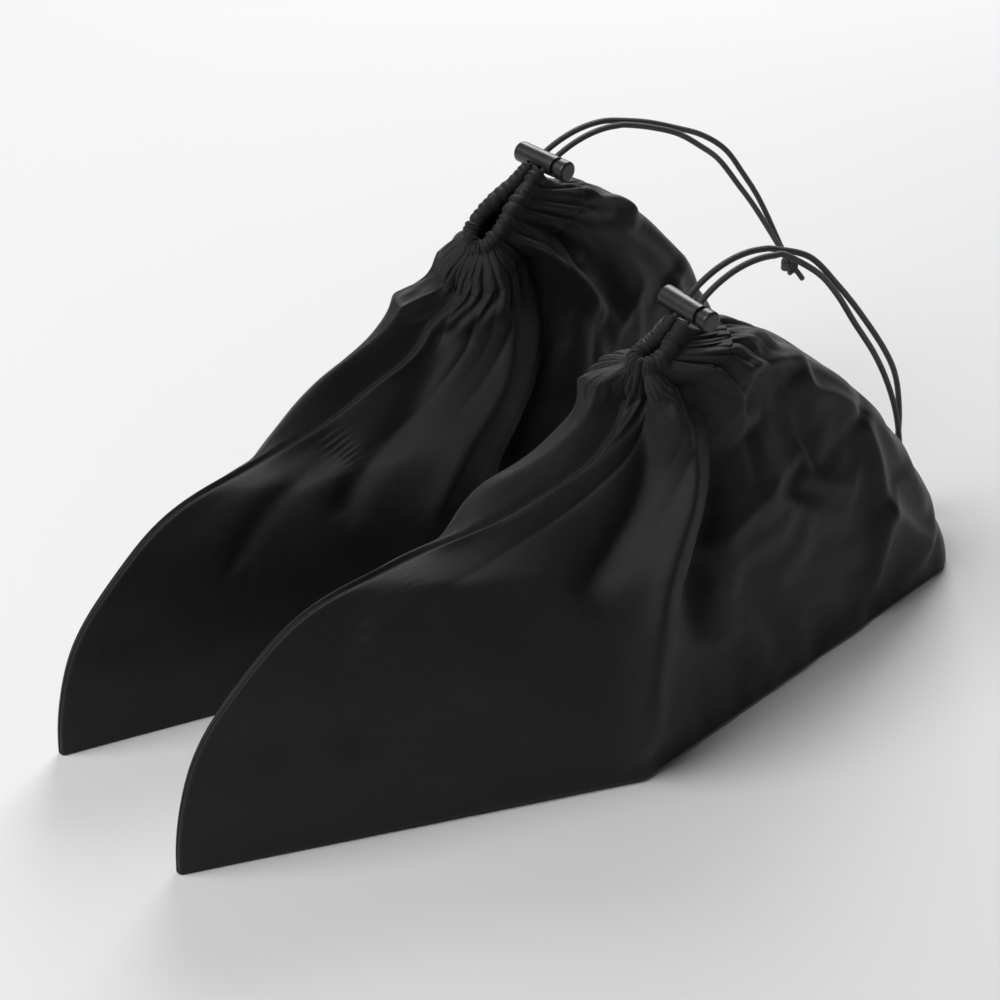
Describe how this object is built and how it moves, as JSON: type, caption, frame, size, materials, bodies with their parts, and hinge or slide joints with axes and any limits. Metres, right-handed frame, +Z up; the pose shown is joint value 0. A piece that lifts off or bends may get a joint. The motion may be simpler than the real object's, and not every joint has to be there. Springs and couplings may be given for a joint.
{
  "type": "shoe bag pair",
  "caption": "Pair of soft drawstring shoe bags, each with a curved toe seam, a gathered hem, an elastic cord and a sprung barrel cord lock.",
  "frame": {"origin": "on the floor, under the middle of the two bags together, cord tails left out", "axes": "+X from toe to heel of the front bag, +Y from the front bag to the rear bag, +Z up"},
  "size_m": [0.4249, 0.2183, 0.1698],
  "materials": {
    "cloth": "black plain-weave polyester with a faint satin sheen",
    "seam": "black sewn cloth edge",
    "cord": "black braided elastic cord",
    "lock_plastic": "black satin moulded plastic",
    "spring_wire": "plain spring wire"
  },
  "bodies": {
    "front_bag": {"front_near_panel": "cloth", "front_far_panel": "cloth", "front_toe_seam": "seam", "front_sole_seam": "seam", "front_near_hem": "cloth", "front_far_hem": "cloth", "front_hem_cord": "cord", "front_near_tail": "cord", "front_far_tail": "cord", "front_knot": "cord"},
    "front_lock": {"front_lock_barrel": "lock_plastic", "front_lock_spring": "spring_wire"},
    "front_button": {"front_lock_plunger": "lock_plastic"},
    "rear_bag": {"rear_near_panel": "cloth", "rear_far_panel": "cloth", "rear_toe_seam": "seam", "rear_sole_seam": "seam", "rear_near_hem": "cloth", "rear_far_hem": "cloth", "rear_hem_cord": "cord", "rear_near_tail": "cord", "rear_far_tail": "cord", "rear_knot": "cord"},
    "rear_lock": {"rear_lock_barrel": "lock_plastic", "rear_lock_spring": "spring_wire"},
    "rear_button": {"rear_lock_plunger": "lock_plastic"}
  },
  "joints": [
    {"name": "bags_apart", "type": "slide", "parent": "front_bag", "child": "rear_bag", "axis": [0, 1, 0], "range_m": [0, 0.15]},
    {"name": "front_lock_along_cord", "type": "hinge", "parent": "front_bag", "child": "front_lock", "pos_m": [0.07916, -0.0474, 0.12514], "axis": [0, 1, 0], "range_deg": [0, 58]},
    {"name": "front_button_press", "type": "slide", "parent": "front_lock", "child": "front_button", "axis": [0, 1, 0], "range_m": [0, 0.002], "stiffness_N_per_m": 900, "springref_m": -0.001, "deforming": ["front_lock_spring"]},
    {"name": "rear_lock_along_cord", "type": "hinge", "parent": "rear_bag", "child": "rear_lock", "pos_m": [0.09695, 0.07304, 0.10854], "axis": [-0.1219, 0.9925, 0], "range_deg": [0, 32]},
    {"name": "rear_button_press", "type": "slide", "parent": "rear_lock", "child": "rear_button", "axis": [-0.1219, 0.9925, 0], "range_m": [0, 0.002], "stiffness_N_per_m": 900, "springref_m": -0.001, "deforming": ["rear_lock_spring"]}
  ]
}
